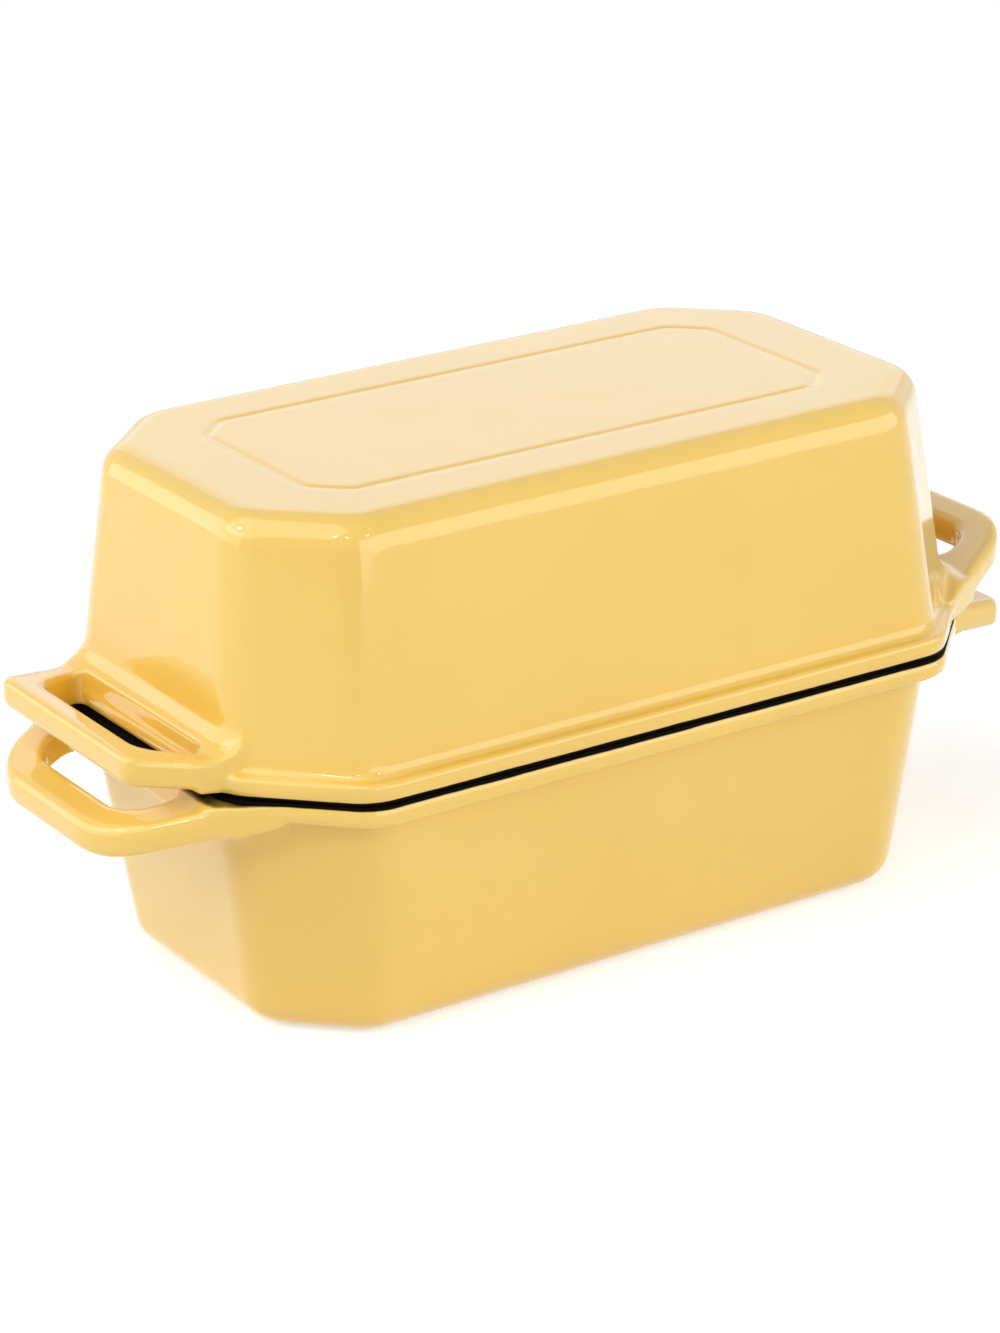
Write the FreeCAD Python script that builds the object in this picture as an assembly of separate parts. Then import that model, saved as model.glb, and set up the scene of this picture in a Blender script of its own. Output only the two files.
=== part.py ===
# Two-piece cast iron bread pan: a deep base pan and the matching upper pan that covers it.
# Millimetres, +Z up. The origin is the centre of the base pan's underside.
import FreeCAD, Part
import math
import os

V = FreeCAD.Vector

# Rim shared by both castings: a rectangle with its corners cut at 45 degrees
RIM_LENGTH = 250.0
RIM_WIDTH = 150.6
RIM_CHAMFER_LEG = 29.3
RIM_CORNER_RADIUS = 16.0
RIM_THICKNESS = 5.2
RIM_EDGE_CHAMFER = 0.9
RIM_SPLAY = 1.6

# Mating land: the narrow raised ring on which the two rims meet
LAND_HEIGHT = 1.15
LAND_SETBACK = 0.7

# Walls
WALL = 4.5
FLOOR = 4.8
WALL_CORNER_RADIUS = 17.5
INSIDE_CORNER_RADIUS = 14.0
INSIDE_FLOOR_RADIUS = 6.0

# Base pan: depth from the mating plane to its underside; each kind of wall (end, side and cut
# corner) starts at its own distance inside the rim's edge and has its own draft in degrees
BASE_DEPTH = 76.7
BASE_END_OVERHANG = 2.9
BASE_SIDE_OVERHANG = 4.5
BASE_CUT_OVERHANG = 5.7
BASE_END_DRAFT = 8.1
BASE_SIDE_DRAFT = 9.3
BASE_CUT_DRAFT = 8.6
BASE_FLOOR_RADIUS = 10.0

# Upper pan, in the same terms
LID_DEPTH = 74.8
LID_END_OVERHANG = 2.9
LID_SIDE_OVERHANG = 3.7
LID_CUT_OVERHANG = 3.0
LID_END_DRAFT = 5.5
LID_SIDE_DRAFT = 8.4
LID_CUT_DRAFT = 8.7
LID_FLOOR_RADIUS = 9.0

# Shallow groove that frames an octagonal panel in the upper pan's flat top
PANEL_LENGTH = 172.0
PANEL_WIDTH = 72.0
PANEL_CHAMFER_LEG = 9.5
PANEL_CORNER_RADIUS = 5.0
PANEL_GROOVE_WIDTH = 3.2
PANEL_GROOVE_DEPTH = 0.6

# Handles: slabs that leave the rim sloping away from the mating plane
HANDLE_THICKNESS = 9.0
HANDLE_EDGE_CHAMFER = 1.5
HANDLE_ROOT_INSET = 15.0
HANDLE_ROOT_RADIUS = 3.0
HANDLE_BLEND_RADIUS = 9.0
HANDLE_BLEND_REACH = 5.5

# Loop handle: every length is measured from the rim's end face
LOOP_SLOPE = 13.0
LOOP_REACH = 30.5
LOOP_ROOT_WIDTH = 118.0
LOOP_TIP_WIDTH = 64.0
LOOP_CORNER_RADIUS = 16.0
LOOP_HOLE_START = 3.0
LOOP_HOLE_END = 19.4
LOOP_HOLE_START_WIDTH = 64.0
LOOP_HOLE_END_WIDTH = 51.0
LOOP_HOLE_START_RADIUS = 4.5
LOOP_HOLE_END_RADIUS = 13.0

# Tab handle with its slot, which starts just inside the rim's end face
TAB_SLOPE = 10.5
TAB_REACH = 24.2
TAB_ROOT_WIDTH = 98.0
TAB_TIP_WIDTH = 73.0
TAB_CORNER_RADIUS = 5.0
TAB_SLOT_START = -0.6
TAB_SLOT_END = 15.2
TAB_SLOT_START_WIDTH = 73.0
TAB_SLOT_END_WIDTH = 56.0
TAB_SLOT_START_RADIUS = 3.0
TAB_SLOT_END_RADIUS = 8.0

# Deeper than any handle reaches, for the cutters that pass right through
THROUGH = 60.0


def rounded_polygon(corners, radii):
    """Closed wire through the corners, each rounded by its own radius."""
    count = len(corners)
    starts = []
    ends = []
    middles = []
    for i in range(count):
        corner = corners[i]
        to_last = (corners[i - 1] - corner).normalize()
        to_next = (corners[(i + 1) % count] - corner).normalize()
        half_angle = to_last.getAngle(to_next) / 2.0
        trim = radii[i] / math.tan(half_angle)
        bisector = (to_last + to_next).normalize()
        centre = corner + bisector * (radii[i] / math.sin(half_angle))
        starts.append(corner + to_last * trim)
        middles.append(centre - bisector * radii[i])
        ends.append(corner + to_next * trim)
    edges = []
    for i in range(count):
        edges.append(Part.Arc(starts[i], middles[i], ends[i]).toShape())
        edges.append(Part.LineSegment(ends[i], starts[(i + 1) % count]).toShape())
    return Part.Wire(edges)


def octagon_corners(length, width, chamfer_leg, z):
    """Corners of a rectangle with 45 degree cut corners, at height z."""
    end_x = length / 2.0
    side_y = width / 2.0
    short_x = end_x - chamfer_leg
    short_y = side_y - chamfer_leg
    return [
        V(end_x, -short_y, z),
        V(end_x, short_y, z),
        V(short_x, side_y, z),
        V(-short_x, side_y, z),
        V(-end_x, short_y, z),
        V(-end_x, -short_y, z),
        V(-short_x, -side_y, z),
        V(short_x, -side_y, z),
    ]


def rim_corners(end_inset, side_inset, cut_inset, z):
    """Corners of the rim outline after its ends, sides and cut corners move in."""
    end_x = RIM_LENGTH / 2.0 - end_inset
    side_y = RIM_WIDTH / 2.0 - side_inset
    cut_reach = RIM_LENGTH / 2.0 + RIM_WIDTH / 2.0 - RIM_CHAMFER_LEG - cut_inset * math.sqrt(2.0)
    return octagon_corners(2.0 * end_x, 2.0 * side_y, end_x + side_y - cut_reach, z)


def rim_outline(inset, radius, z):
    """The rounded rim outline moved in all round by one amount."""
    return rounded_polygon(rim_corners(inset, inset, inset, z), [radius] * 8)


def trapezium(start_x, start_width, start_radius, end_x, end_width, end_radius):
    """Symmetric plan outline of a handle or of its opening."""
    corners = [
        V(start_x, -start_width / 2.0, 0),
        V(end_x, -end_width / 2.0, 0),
        V(end_x, end_width / 2.0, 0),
        V(start_x, start_width / 2.0, 0),
    ]
    return rounded_polygon(corners, [start_radius, end_radius, end_radius, start_radius])


def prism(wire, height):
    return Part.Face(wire).extrude(V(0, 0, height))


def edges_at(shape, z):
    """Edges that lie wholly at one height."""
    found = []
    for edge in shape.Edges:
        box = edge.BoundBox
        if abs(box.ZMin - z) < 1e-4 and abs(box.ZMax - z) < 1e-4:
            found.append(edge)
    return found


def face_through(corners):
    return Part.Face(Part.makePolygon(corners + [corners[0]]))


def tapered_tub(top, bottom, overhangs, drafts, inset, corner_radius, floor_radius):
    """Solid tapered octagon of flat walls, its upright corners and its floor edge rounded."""
    rings = []
    for z in (top, bottom):
        insets = []
        for overhang, draft in zip(overhangs, drafts):
            insets.append(overhang + inset - z * math.tan(math.radians(draft)))
        rings.append(rim_corners(insets[0], insets[1], insets[2], z))
    upper, lower = rings
    faces = [face_through(upper), face_through(lower)]
    for i in range(8):
        j = (i + 1) % 8
        faces.append(face_through([upper[i], upper[j], lower[j], lower[i]]))
    solid = Part.Solid(Part.Shell(faces))
    level = edges_at(solid, top) + edges_at(solid, bottom)
    upright = [edge for edge in solid.Edges if not any(edge.isSame(other) for other in level)]
    solid = solid.makeFillet(corner_radius, upright)
    return solid.makeFillet(floor_radius, edges_at(solid, bottom))


def hollow_edges(joined, tub, z):
    """Edges of a fused ledge's face at z that lie against the tub's wall."""
    found = []
    for edge in edges_at(joined, z):
        middle = edge.valueAt((edge.FirstParameter + edge.LastParameter) / 2.0)
        if tub.distToShape(Part.Vertex(middle))[0] < 0.01:
            found.append(edge)
    return found


def rim(tub):
    """The flange round the mouth, with eased edges, splayed where it leaves the tub's walls."""
    far_face = -LAND_HEIGHT - RIM_THICKNESS
    flange = prism(rim_outline(0, RIM_CORNER_RADIUS, -LAND_HEIGHT), -RIM_THICKNESS)
    flange = flange.makeChamfer(RIM_EDGE_CHAMFER, edges_at(flange, -LAND_HEIGHT) + edges_at(flange, far_face))
    joined = tub.fuse(flange)
    return joined.makeChamfer(RIM_SPLAY, hollow_edges(joined, tub, far_face))


def sloping_slab(outline, opening, slope):
    """Slab with upright sides whose two faces slope down from x = 0, its edges eased."""
    fall = math.tan(math.radians(slope))
    box = outline.BoundBox
    near_x = box.XMin - 1.0
    far_x = box.XMax + 1.0
    side_y = box.YMax + 1.0
    drop = V(0, 0, -HANDLE_THICKNESS)
    near = V(near_x, -side_y, -near_x * fall)
    far = V(far_x, -side_y, -far_x * fall)
    blank = face_through([near, far, far + drop, near + drop]).extrude(V(0, 2.0 * side_y, 0))
    column = prism(outline, -THROUGH).cut(prism(opening, -THROUGH))
    column.translate(V(0, 0, THROUGH / 2.0))
    slab = blank.common(column)
    eased = []
    for edge in slab.Edges:
        first = edge.valueAt(edge.FirstParameter)
        last = edge.valueAt(edge.LastParameter)
        if abs(first.z + first.x * fall - last.z - last.x * fall) < 1e-4:
            eased.append(edge)
    return slab.makeChamfer(HANDLE_EDGE_CHAMFER, eased)


def handle(tub, slope, outline, opening):
    """One handle at the +X end: a sloping slab with its opening, blended up the tub's wall."""
    rim_end = RIM_LENGTH / 2.0
    slab = sloping_slab(outline, opening, slope)
    slab.translate(V(rim_end, 0, -LAND_HEIGHT))

    grow = 3.0 * HANDLE_BLEND_RADIUS
    collar = tub.fuse(prism(rim_outline(-grow, RIM_CORNER_RADIUS, -LAND_HEIGHT), -HANDLE_THICKNESS))
    root = hollow_edges(collar, tub, -LAND_HEIGHT - HANDLE_THICKNESS)
    collar = collar.makeFillet(HANDLE_BLEND_RADIUS, root)
    footprint = prism(outline, -LAND_HEIGHT - HANDLE_THICKNESS - 2.0 * HANDLE_BLEND_RADIUS)
    footprint.translate(V(rim_end, 0, 0))
    passage = prism(opening, -THROUGH)
    passage.translate(V(rim_end, 0, 0))
    limit = prism(rim_outline(-HANDLE_BLEND_REACH, RIM_CORNER_RADIUS, 0), -THROUGH)
    collar = collar.common(footprint).common(limit).cut(passage)
    return slab.fuse(collar)


def casting(depth, overhangs, drafts, floor_radius):
    """One pan, mouth up with the mating plane at z = 0; the loop at -X and the tab at +X."""
    tub = tapered_tub(-LAND_HEIGHT, -depth, overhangs, drafts, 0, WALL_CORNER_RADIUS, floor_radius)
    loop_outline = trapezium(
        -HANDLE_ROOT_INSET, LOOP_ROOT_WIDTH, HANDLE_ROOT_RADIUS,
        LOOP_REACH, LOOP_TIP_WIDTH, LOOP_CORNER_RADIUS,
    )
    loop_hole = trapezium(
        LOOP_HOLE_START, LOOP_HOLE_START_WIDTH, LOOP_HOLE_START_RADIUS,
        LOOP_HOLE_END, LOOP_HOLE_END_WIDTH, LOOP_HOLE_END_RADIUS,
    )
    tab_outline = trapezium(
        -HANDLE_ROOT_INSET, TAB_ROOT_WIDTH, HANDLE_ROOT_RADIUS,
        TAB_REACH, TAB_TIP_WIDTH, TAB_CORNER_RADIUS,
    )
    tab_slot = trapezium(
        TAB_SLOT_START, TAB_SLOT_START_WIDTH, TAB_SLOT_START_RADIUS,
        TAB_SLOT_END, TAB_SLOT_END_WIDTH, TAB_SLOT_END_RADIUS,
    )
    loop = handle(tub, LOOP_SLOPE, loop_outline, loop_hole)
    loop.rotate(V(0, 0, 0), V(0, 0, 1), 180)
    tab = handle(tub, TAB_SLOPE, tab_outline, tab_slot)
    body = rim(tub).fuse([loop, tab])

    # The sloping slabs rise past the rim's face inside the mouth: level them off, add the land
    span = 2.0 * RIM_LENGTH
    body = body.cut(Part.makeBox(span, span, THROUGH, V(-span / 2.0, -span / 2.0, -LAND_HEIGHT)))
    land = prism(rim_outline(LAND_SETBACK, RIM_CORNER_RADIUS - LAND_SETBACK, -LAND_HEIGHT), LAND_HEIGHT)
    cavity = tapered_tub(
        LAND_HEIGHT, FLOOR - depth, overhangs, drafts, WALL, INSIDE_CORNER_RADIUS, INSIDE_FLOOR_RADIUS,
    )
    return body.fuse(land).cut(cavity).removeSplitter()


def panel_groove(z):
    """V-shaped cutter that follows the panel outline and bites into the face at height z from below."""
    corners = octagon_corners(PANEL_LENGTH, PANEL_WIDTH, PANEL_CHAMFER_LEG, z)
    path = rounded_polygon(corners, [PANEL_CORNER_RADIUS] * 8)
    first = path.OrderedEdges[0]
    start = first.valueAt(first.FirstParameter)
    across = first.tangentAt(first.FirstParameter).cross(V(0, 0, 1))
    bottom = start + V(0, 0, PANEL_GROOVE_DEPTH)
    left = start * 2.0 - bottom - across * PANEL_GROOVE_WIDTH
    right = start * 2.0 - bottom + across * PANEL_GROOVE_WIDTH
    return path.makePipeShell([Part.makePolygon([bottom, left, right, bottom])], True, False)


def main():
    os.makedirs("parts", exist_ok=True)
    base_overhangs = (BASE_END_OVERHANG, BASE_SIDE_OVERHANG, BASE_CUT_OVERHANG)
    base_drafts = (BASE_END_DRAFT, BASE_SIDE_DRAFT, BASE_CUT_DRAFT)
    base = casting(BASE_DEPTH, base_overhangs, base_drafts, BASE_FLOOR_RADIUS)
    base.translate(V(0, 0, BASE_DEPTH))
    base.exportStep("parts/base_pan.step")

    lid_overhangs = (LID_END_OVERHANG, LID_SIDE_OVERHANG, LID_CUT_OVERHANG)
    lid_drafts = (LID_END_DRAFT, LID_SIDE_DRAFT, LID_CUT_DRAFT)
    lid = casting(LID_DEPTH, lid_overhangs, lid_drafts, LID_FLOOR_RADIUS)
    lid = lid.cut(panel_groove(-LID_DEPTH))
    lid.rotate(V(0, 0, 0), V(0, 1, 0), 180)
    lid.translate(V(0, 0, BASE_DEPTH))
    lid.exportStep("parts/lid.step")


main()
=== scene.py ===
import bpy
import math
import numpy as np
from mathutils import Matrix, Vector


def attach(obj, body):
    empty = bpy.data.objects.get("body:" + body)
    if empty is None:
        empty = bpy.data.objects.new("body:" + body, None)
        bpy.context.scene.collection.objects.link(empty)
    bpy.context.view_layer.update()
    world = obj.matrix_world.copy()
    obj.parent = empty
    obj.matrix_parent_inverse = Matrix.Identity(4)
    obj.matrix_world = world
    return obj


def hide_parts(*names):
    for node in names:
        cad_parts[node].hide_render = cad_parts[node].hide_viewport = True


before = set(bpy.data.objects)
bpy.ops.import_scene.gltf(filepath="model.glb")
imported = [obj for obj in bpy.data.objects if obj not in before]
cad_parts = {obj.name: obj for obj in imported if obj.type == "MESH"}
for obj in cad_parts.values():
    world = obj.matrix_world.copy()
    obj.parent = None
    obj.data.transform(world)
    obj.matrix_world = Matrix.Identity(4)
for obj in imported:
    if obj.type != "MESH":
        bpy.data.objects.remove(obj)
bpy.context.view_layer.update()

# Sizes of the part that the scene needs, in metres and degrees
PARTING_Z = 0.0767
LAND = 0.00115
TOP_Z = 0.1515

# Ends, sides and cut corners, in that order: the rim from the middle, then each wall below it
RIM = (0.125, 0.0753, (0.125 + 0.0753 - 0.0293) * math.sqrt(0.5))
BASE_OVERHANG = (0.0029, 0.0045, 0.0057)
BASE_DRAFT = (8.1, 9.3, 8.6)
LID_OVERHANG = (0.0029, 0.0037, 0.0030)
LID_DRAFT = (5.5, 8.4, 8.7)

# The flange's face away from the parting, measured from it
FLANGE_FACE = 0.00635

# A loop handle in plan, outward from the rim's end and sideways from the middle:
# its outer corner before rounding, and the direction that its slanted side faces
LOOP_CORNER = (0.0305, 0.032)
LOOP_SIDE = (0.5103, 0.86)

# The radius of that corner as cast and as the photograph shows it, and the width of the
# stretch along the handle's outer edge that gives way
LOOP_CAST_ROUND = 0.016
LOOP_FULL_ROUND = 0.027
LOOP_BAND = 0.007

# A handle root thins out from the end of this stretch along the pan towards its start,
# down to this distance off the flange, in full where it stands this far out of the wall
FADE_START = RIM[0] - 0.017
FADE_LENGTH = 0.016
FADE_DEPTH = 0.011
FADE_PROUD = 0.002

# The skins: grid size, rounds of smoothing, triangles in the finished mesh, and the
# number of steps in which extra smoothing sets in
VOXEL = 0.0006
ROUNDS = 8
TRIANGLES = 190000
WEIGHT_STEPS = 16

# Extra smoothing on the grips starts past the rim's end and grows over a short stretch
GRIP_START = RIM[0] + 0.001
GRIP_GROWTH = 0.006

# Extra smoothing at a handle root: its centre along the pan, across it and off the parting,
# its size in the same directions, and the multiple of that size at which it ends
ROOT_CENTER = (RIM[0] - 0.015, 0.0545, 0.009)
ROOT_RADII = (0.009, 0.011, 0.006)
ROOT_REACH = 1.6

# The cavity's faces lie deeper than this below the outer face of their wall or floor
WALL_DEPTH = 0.0022
FLOOR_DEPTH = 0.0024

# How far away a surface still darkens a hollow to deeper orange, for enamel pooling there and as
# painted shade, and the soft edge of the black lands
HOLLOW_SHADE_REACH = 0.026
LAND_BLUR = 0.0003
LAND_WOBBLE = 0.00012

FLOOR_SIZE = 12
FLOOR_GAP = 0.0004

# The least length that anything is divided by
TINY = 1e-6


def node(tree, kind, **settings):
    made = tree.nodes.new(kind)
    for key, value in settings.items():
        setattr(made, key, value)
    return made


def new_material(name):
    material = bpy.data.materials.new(name)
    material.use_nodes = True
    material.node_tree.nodes.clear()
    return material, material.node_tree


def noise(tree, coords, scale, detail, roughness, distortion=0.0):
    made = node(tree, "ShaderNodeTexNoise")
    made.inputs["Scale"].default_value = scale
    made.inputs["Detail"].default_value = detail
    made.inputs["Roughness"].default_value = roughness
    made.inputs["Distortion"].default_value = distortion
    tree.links.new(coords, made.inputs["Vector"])
    return made.outputs["Fac"]


def remap(tree, value, low, high, to_low, to_high):
    made = node(tree, "ShaderNodeMapRange")
    made.inputs["From Min"].default_value = low
    made.inputs["From Max"].default_value = high
    made.inputs["To Min"].default_value = to_low
    made.inputs["To Max"].default_value = to_high
    tree.links.new(value, made.inputs["Value"])
    return made.outputs["Result"]


def compute(tree, operation, *values):
    """The result of a Math node, each of whose values is a socket or a number."""
    made = node(tree, "ShaderNodeMath", operation=operation)
    for place, value in enumerate(values):
        if isinstance(value, bpy.types.NodeSocket):
            tree.links.new(value, made.inputs[place])
        else:
            made.inputs[place].default_value = value
    return made.outputs[0]


def blend_colors(tree, factor, first, second):
    """A mix of two colours, each a socket or red, green and blue."""
    made = node(tree, "ShaderNodeMix", data_type="RGBA")
    tree.links.new(factor, made.inputs[0])
    for place, color in ((6, first), (7, second)):
        if isinstance(color, bpy.types.NodeSocket):
            tree.links.new(color, made.inputs[place])
        else:
            made.inputs[place].default_value = (*color, 1)
    return made.outputs[2]


def blend_shaders(tree, factor, first, second):
    made = node(tree, "ShaderNodeMixShader")
    tree.links.new(factor, made.inputs["Fac"])
    tree.links.new(first, made.inputs[1])
    tree.links.new(second, made.inputs[2])
    return made.outputs[0]


def add_bump(tree, height, strength, distance, normal=None):
    made = node(tree, "ShaderNodeBump")
    made.inputs["Strength"].default_value = strength
    made.inputs["Distance"].default_value = distance
    tree.links.new(height, made.inputs["Height"])
    if normal is not None:
        tree.links.new(normal, made.inputs["Normal"])
    return made.outputs["Normal"]


def set_surface(tree, kind, shader):
    out = node(tree, kind)
    tree.links.new(shader, out.inputs["Surface"])


def enamel_color(tree, coords):
    """Pastel yellow that drifts softly and is painted deeper orange in hollows, partly for enamel
    pooling there and partly as painted shade and interreflected light.
    """
    drift = remap(tree, noise(tree, coords, 14, 3, 0.5, 0.4), 0.3, 0.7, 0, 1)
    thin = blend_colors(tree, drift, (0.85, 0.56, 0.11), (0.88, 0.59, 0.128))
    # Painted shade: ambient occlusion darkens hollows towards deep orange, standing both for thicker
    # pooled enamel and for the shade and interreflected light inside them
    hollow_shade = node(tree, "ShaderNodeAmbientOcclusion", samples=8, only_local=True)
    hollow_shade.inputs["Distance"].default_value = HOLLOW_SHADE_REACH
    pooled_and_shaded = remap(tree, hollow_shade.outputs["AO"], 0.45, 0.9, 0.95, 0)
    return blend_colors(tree, pooled_and_shaded, thin, (0.86, 0.49, 0.03))


def glossy_coat(tree, coords, color):
    """Enamel under a clear coat, with a faint waviness and orange peel."""
    gloss = remap(tree, noise(tree, coords, 38, 3, 0.55), 0.3, 0.7, 0.13, 0.2)
    wave = add_bump(tree, noise(tree, coords, 46, 2, 0.4), 0.35, 0.0006)
    peel = add_bump(tree, noise(tree, coords, 420, 2, 0.5), 0.25, 0.00006, wave)
    shader = node(tree, "ShaderNodeBsdfPrincipled")
    shader.inputs["IOR"].default_value = 1.5
    shader.inputs["Specular IOR Level"].default_value = 0.12
    shader.inputs["Coat Weight"].default_value = 1
    shader.inputs["Coat IOR"].default_value = 1.5
    shader.inputs["Coat Roughness"].default_value = 0.035
    tree.links.new(color, shader.inputs["Base Color"])
    tree.links.new(gloss, shader.inputs["Roughness"])
    tree.links.new(peel, shader.inputs["Normal"])
    tree.links.new(peel, shader.inputs["Coat Normal"])
    return shader.outputs["BSDF"]


def matt_black(tree):
    shader = node(tree, "ShaderNodeBsdfPrincipled")
    shader.inputs["Base Color"].default_value = (0.003, 0.0018, 0.0008, 1)
    shader.inputs["Roughness"].default_value = 0.6
    shader.inputs["Specular IOR Level"].default_value = 0.03
    return shader.outputs["BSDF"]


def off_the_lands(tree, coords):
    """0 on the lands where the castings meet and 1 past them, with a slightly wavy edge."""
    place = node(tree, "ShaderNodeSeparateXYZ")
    tree.links.new(coords, place.inputs[0])
    above = compute(tree, "SUBTRACT", place.outputs["Z"], PARTING_Z)
    apart = compute(tree, "ABSOLUTE", above)
    ripple = noise(tree, coords, 60, 3, 0.5)
    wobble = remap(tree, ripple, 0.3, 0.7, -LAND_WOBBLE, LAND_WOBBLE)
    edge = compute(tree, "ADD", apart, wobble)
    return remap(tree, edge, LAND, LAND + LAND_BLUR, 0, 1)


def yellow_enamel():
    """Glossy pastel enamel outside, and matt black on the lands."""
    material, tree = new_material("yellow_enamel")
    coords = node(tree, "ShaderNodeTexCoord").outputs["Object"]
    coat = glossy_coat(tree, coords, enamel_color(tree, coords))
    both = blend_shaders(tree, off_the_lands(tree, coords), matt_black(tree), coat)
    set_surface(tree, "ShaderNodeOutputMaterial", both)
    return material


def black_enamel():
    """Satin black enamel with a fine grain, for the inside."""
    material, tree = new_material("inside_black")
    coords = node(tree, "ShaderNodeTexCoord").outputs["Object"]
    drift = remap(tree, noise(tree, coords, 60, 4, 0.6), 0.3, 0.7, 0, 1)
    color = blend_colors(tree, drift, (0.004, 0.0035, 0.003), (0.009, 0.008, 0.007))
    gloss = remap(tree, noise(tree, coords, 150, 3, 0.6), 0.3, 0.7, 0.3, 0.42)
    grain = add_bump(tree, noise(tree, coords, 900, 3, 0.6), 0.3, 0.0001)
    shader = node(tree, "ShaderNodeBsdfPrincipled")
    tree.links.new(color, shader.inputs["Base Color"])
    tree.links.new(gloss, shader.inputs["Roughness"])
    tree.links.new(grain, shader.inputs["Normal"])
    set_surface(tree, "ShaderNodeOutputMaterial", shader.outputs["BSDF"])
    return material


def read_rows(items, name):
    """A three-part property of every vertex or face, as rows of x, y and z."""
    rows = np.empty(len(items) * 3)
    items.foreach_get(name, rows)
    return rows.reshape(-1, 3)


def move_points(mesh, spots):
    mesh.vertices.foreach_set("co", spots.ravel())
    mesh.update()


def past_walls(spots, lid):
    """How far each point lies outside the tub's outer walls, less than 0 inside them."""
    overhang, draft = (LID_OVERHANG, LID_DRAFT) if lid else (BASE_OVERHANG, BASE_DRAFT)
    flat = np.abs(spots)
    height = np.abs(spots[:, 2] - PARTING_Z)
    slant = (flat[:, 0] + flat[:, 1]) * math.sqrt(0.5)
    reach = np.stack((flat[:, 0], flat[:, 1], slant), axis=1)
    walls = np.array(RIM) - overhang - height[:, None] * np.tan(np.radians(draft))
    return np.max(reach - walls, axis=1)


def apply_modifiers(piece):
    """Give the piece the mesh that its modifiers make, and clear them."""
    bpy.context.view_layer.update()
    graph = bpy.context.evaluated_depsgraph_get()
    done = bpy.data.meshes.new_from_object(piece.evaluated_get(graph))
    piece.modifiers.clear()
    piece.data = done


def relax_by(piece, name, weights, rounds):
    """Smooth the piece where the weights say so."""
    group = piece.vertex_groups.new(name=name)
    levels = np.round(weights * WEIGHT_STEPS).astype(int)
    for level in range(1, WEIGHT_STEPS + 1):
        group.add(np.nonzero(levels == level)[0].tolist(), level / WEIGHT_STEPS, "REPLACE")
    soften = piece.modifiers.new(name, "SMOOTH")
    soften.factor = 0.5
    soften.iterations = rounds
    soften.vertex_group = name
    apply_modifiers(piece)
    piece.vertex_groups.clear()


def at_corner(offsets):
    """Which plan offsets point between straight out and square to the loop's slanted side."""
    turned = offsets[:, 0] * LOOP_SIDE[1] - offsets[:, 1] * LOOP_SIDE[0]
    return (offsets[:, 1] > 0) & (turned > 0)


def cast_edge(ray, full, cast):
    """How far the cast loop's edge lies from the fuller round's centre, along each ray."""
    straight = LOOP_FULL_ROUND / np.maximum(np.maximum(ray[:, 0], ray @ LOOP_SIDE), TINY)
    along = ray @ (cast - full)
    inner = along ** 2 - np.dot(cast - full, cast - full) + LOOP_CAST_ROUND ** 2
    arc = along + np.sqrt(np.maximum(inner, 0))
    hit = full + ray * arc[:, None] - cast
    return np.where(at_corner(hit), arc, straight)


def round_loop(mesh, end):
    """Draw the loop handle's two outer corners in to the fuller round of a D."""
    inward = -np.array((LOOP_SIDE[0] + 1, LOOP_SIDE[1]))
    inward /= abs(inward[0])
    full = np.array(LOOP_CORNER) + inward * LOOP_FULL_ROUND
    cast = np.array(LOOP_CORNER) + inward * LOOP_CAST_ROUND
    spots = read_rows(mesh.vertices, "co")
    plan = np.stack((spots[:, 0] * end - RIM[0], np.abs(spots[:, 1])), axis=1) - full
    reach = np.maximum(np.linalg.norm(plan, axis=1), TINY)
    ray = plan / reach[:, None]
    start = LOOP_FULL_ROUND - LOOP_BAND
    drawn = start + (reach - start) * LOOP_BAND / (cast_edge(ray, full, cast) - start)
    changes = at_corner(ray) & (reach > start)
    moved = full + ray * np.where(changes, drawn, reach)[:, None]
    spots[:, 0] = (moved[:, 0] + RIM[0]) * end
    spots[:, 1] = moved[:, 1] * np.sign(spots[:, 1])
    move_points(mesh, spots)


def fade_roots(mesh, lid):
    """Thin the handles' roots towards the flange, so that they run out along its cut corners."""
    spots = read_rows(mesh.vertices, "co")
    height = np.abs(spots[:, 2] - PARTING_Z)
    proud = np.clip(past_walls(spots, lid) / FADE_PROUD, 0, 1)
    run = np.clip((np.abs(spots[:, 0]) - FADE_START) / FADE_LENGTH, 0, 1)
    kept = 1 - proud * (1 - run * run * (3 - 2 * run))
    below = height - FLANGE_FACE
    root = (below > 0) & (below < FADE_DEPTH)
    height = np.where(root, FLANGE_FACE + below * kept, height)
    spots[:, 2] = PARTING_Z + height * (1 if lid else -1)
    move_points(mesh, spots)


def grip_weights(spots):
    """How much extra smoothing each point gets as part of a grip, from 0 to 1."""
    return np.clip((np.abs(spots[:, 0]) - GRIP_START) / GRIP_GROWTH, 0, 1)


def root_weights(spots):
    """How much extra smoothing each point gets as part of a handle root, from 0 to 1."""
    away = np.abs(spots - (0, 0, PARTING_Z)) - ROOT_CENTER
    return np.clip(ROOT_REACH - np.linalg.norm(away / ROOT_RADII, axis=1), 0, 1)


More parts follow.
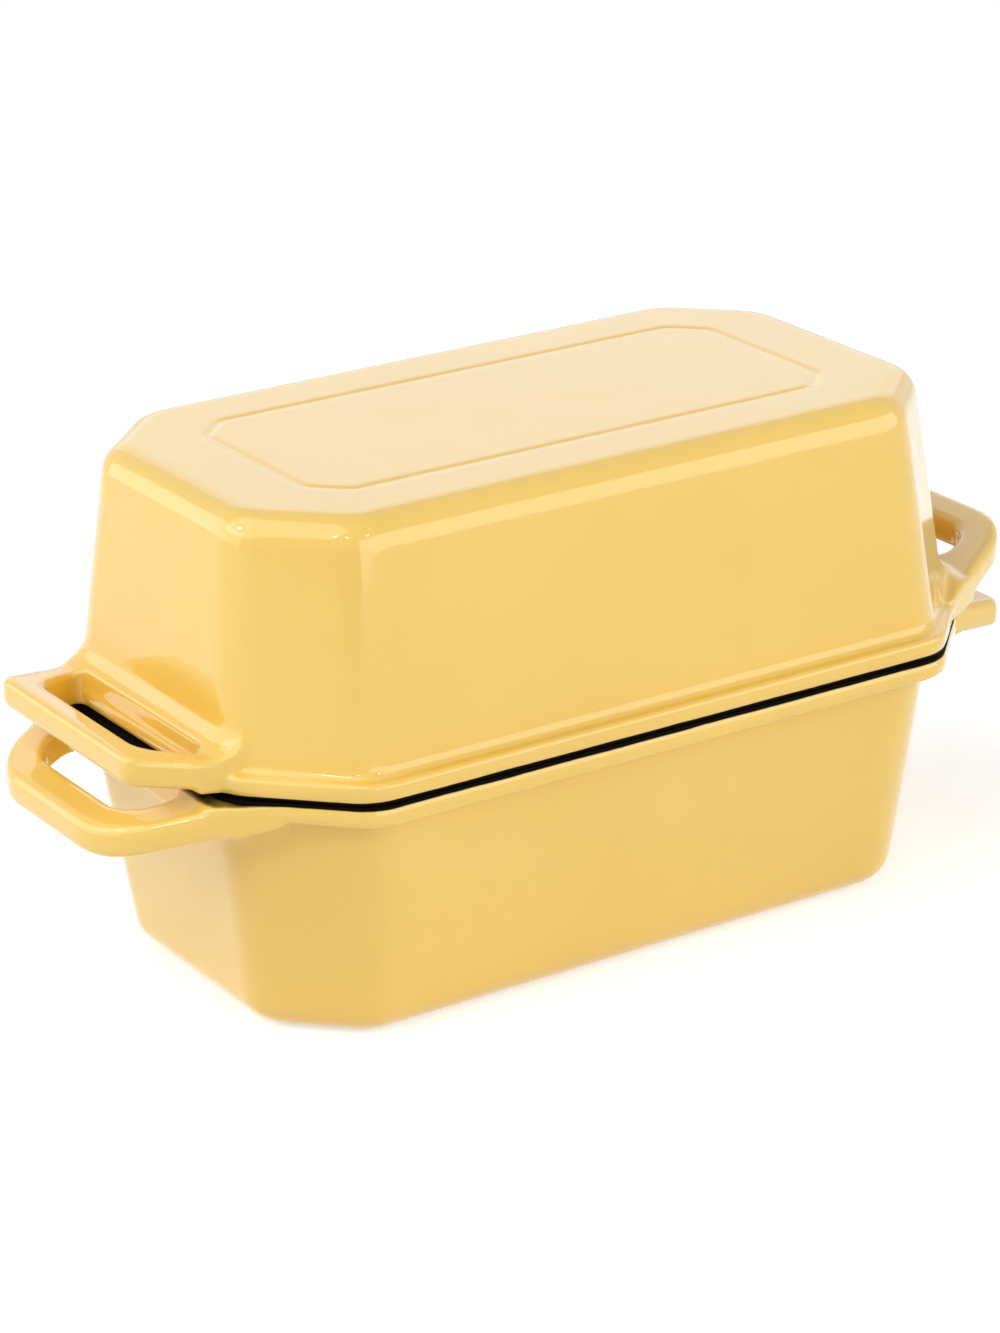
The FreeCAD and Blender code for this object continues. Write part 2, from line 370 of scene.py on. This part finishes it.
def softened(node_name, lid):
    """The casting again as one even skin whose edges and roots are rounded as enamel rounds them."""
    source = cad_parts[node_name]
    skin = bpy.data.objects.new(node_name + "_skin", source.data.copy())
    skin.matrix_world = source.matrix_world.copy()
    bpy.context.scene.collection.objects.link(skin)
    skin.data.materials.clear()
    grid = skin.modifiers.new("grid", "REMESH")
    grid.mode = "VOXEL"
    grid.voxel_size = VOXEL
    relax = skin.modifiers.new("relax", "SMOOTH")
    relax.factor = 0.5
    relax.iterations = ROUNDS
    apply_modifiers(skin)
    round_loop(skin.data, 1 if lid else -1)
    fade_roots(skin.data, lid)
    spots = read_rows(skin.data.vertices, "co")
    relax_by(skin, "grips", grip_weights(spots), 2 * ROUNDS)
    relax_by(skin, "roots", root_weights(spots), 6 * ROUNDS)
    thin = skin.modifiers.new("thin", "DECIMATE")
    thin.ratio = min(1, TRIANGLES / (2 * len(skin.data.polygons)))
    apply_modifiers(skin)
    return skin


def inside_faces(mesh, lid):
    """Faces of a casting that lie on the wall or floor of its cavity."""
    depth = TOP_Z - PARTING_Z if lid else PARTING_Z
    middle = (0, 0, PARTING_Z + (0.5 if lid else -0.5) * depth)
    centers = read_rows(mesh.polygons, "center")
    normals = read_rows(mesh.polygons, "normal")
    off_floor = np.abs(centers[:, 2] - PARTING_Z) < depth - FLOOR_DEPTH
    off_walls = past_walls(centers, lid) < -WALL_DEPTH
    facing_in = np.sum(normals * (centers - middle), axis=1) < 0
    return np.nonzero(off_floor & off_walls & facing_in)[0].tolist()


def seen_directly(tree):
    """1 for what the camera sees itself, in a reflection or through glass, and 0 for light."""
    rays = node(tree, "ShaderNodeLightPath").outputs
    seen = compute(tree, "MAXIMUM", rays["Is Camera Ray"], rays["Is Glossy Ray"])
    return compute(tree, "MAXIMUM", seen, rays["Is Transmission Ray"])


def white_floor():
    """A wide floor that looks white where it is seen directly and keeps the object's shadow."""
    bpy.ops.mesh.primitive_plane_add(size=FLOOR_SIZE, location=(0, 0, -FLOOR_GAP))
    made = bpy.context.object
    made.name = "floor"
    material, tree = new_material("floor_white")
    diffuse = node(tree, "ShaderNodeBsdfDiffuse")
    diffuse.inputs["Color"].default_value = (0.8, 0.8, 0.8, 1)
    glow = node(tree, "ShaderNodeEmission")
    glow.inputs["Color"].default_value = (1, 1, 1, 1)
    glow.inputs["Strength"].default_value = 0.55
    bright = node(tree, "ShaderNodeAddShader")
    tree.links.new(diffuse.outputs[0], bright.inputs[0])
    tree.links.new(glow.outputs[0], bright.inputs[1])
    both = blend_shaders(tree, seen_directly(tree), diffuse.outputs[0], bright.outputs[0])
    set_surface(tree, "ShaderNodeOutputMaterial", both)
    made.data.materials.append(material)
    return made


def background(tree, strength):
    made = node(tree, "ShaderNodeBackground")
    made.inputs["Color"].default_value = (1, 1, 1, 1)
    made.inputs["Strength"].default_value = strength
    return made.outputs[0]


def pale_world():
    """Even surroundings, dim as a light and white where they are seen directly."""
    world = bpy.data.worlds.new("studio")
    bpy.context.scene.world = world
    world.use_nodes = True
    tree = world.node_tree
    tree.nodes.clear()
    both = blend_shaders(tree, seen_directly(tree), background(tree, 0.15), background(tree, 1.0))
    set_surface(tree, "ShaderNodeOutputWorld", both)


def softbox(name, place, width, height, power):
    """A rectangular lamp that faces the middle of the pan."""
    target = Vector((0, 0, 0.08))
    lamp = bpy.data.lights.new(name, "AREA")
    lamp.shape = "RECTANGLE"
    lamp.size = width
    lamp.size_y = height
    lamp.energy = power
    holder = bpy.data.objects.new(name, lamp)
    holder.location = place
    holder.rotation_euler = (Vector(place) - target).to_track_quat("Z", "Y").to_euler()
    bpy.context.scene.collection.objects.link(holder)


def photo_camera():
    """The camera, from the fit to the rim, walls and top panel in the photograph."""
    photo_height = 1333
    focal_pixels = 4207.2
    sensor_height = 36
    distance = 1.214743
    target = Vector((-0.00734, 0, PARTING_Z - 0.00354))
    azimuth, elevation, roll = (math.radians(angle) for angle in (-32.914, 21.444, -0.955))
    back = Vector((
        math.sin(azimuth) * math.cos(elevation),
        -math.cos(azimuth) * math.cos(elevation),
        math.sin(elevation),
    ))
    level = Vector((math.cos(azimuth), math.sin(azimuth), 0))
    upright = back.cross(level)
    right = level * math.cos(roll) + upright * math.sin(roll)
    up = upright * math.cos(roll) - level * math.sin(roll)
    place = target + back * distance
    lens = bpy.data.cameras.new("camera")
    lens.sensor_fit = "VERTICAL"
    lens.sensor_height = sensor_height
    lens.lens = focal_pixels * sensor_height / photo_height
    lens.clip_start = 0.05
    lens.clip_end = 50
    camera = bpy.data.objects.new("camera", lens)
    camera.matrix_world = Matrix((
        (right.x, up.x, back.x, place.x),
        (right.y, up.y, back.y, place.y),
        (right.z, up.z, back.z, place.z),
        (0, 0, 0, 1),
    ))
    bpy.context.scene.collection.objects.link(camera)
    bpy.context.scene.camera = camera


# The castings
yellow = yellow_enamel()
inside_black = black_enamel()
for name in ("base_pan", "lid"):
    skin = softened(name, name == "lid")
    mesh = skin.data
    mesh.materials.clear()
    mesh.materials.append(yellow)
    mesh.materials.append(inside_black)
    for index in inside_faces(mesh, name == "lid"):
        mesh.polygons[index].material_index = 1
    mesh.shade_smooth()
    weigh = skin.modifiers.new("weigh", "WEIGHTED_NORMAL")
    weigh.keep_sharp = False
    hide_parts(name)
    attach(skin, "root")

# Floor and surroundings
floor = white_floor()
pale_world()

# Lamps: four large softboxes, then small ones whose reflections are the points on the edges
softbox("front", (1.2, -2.15, 0.5), 4.4, 2.4, 73)
softbox("left", (-2.0, 1.1, 0.5), 3.0, 2.2, 30)
softbox("left_high", (-1.5, 0.15, 1.95), 2.6, 2.6, 34)
softbox("rear", (1.1, 1.7, 0.95), 2.2, 1.0, 3)
for place in ((0.2, -1.3, 1.3), (-0.75, -1.05, 1.3), (-1.1, -0.7, 1.3), (-1.3, 0.3, 1.3)):
    softbox("spark", place, 0.16, 0.16, 1.3)

# Camera and view
photo_camera()
bpy.context.scene.view_settings.view_transform = "Standard"
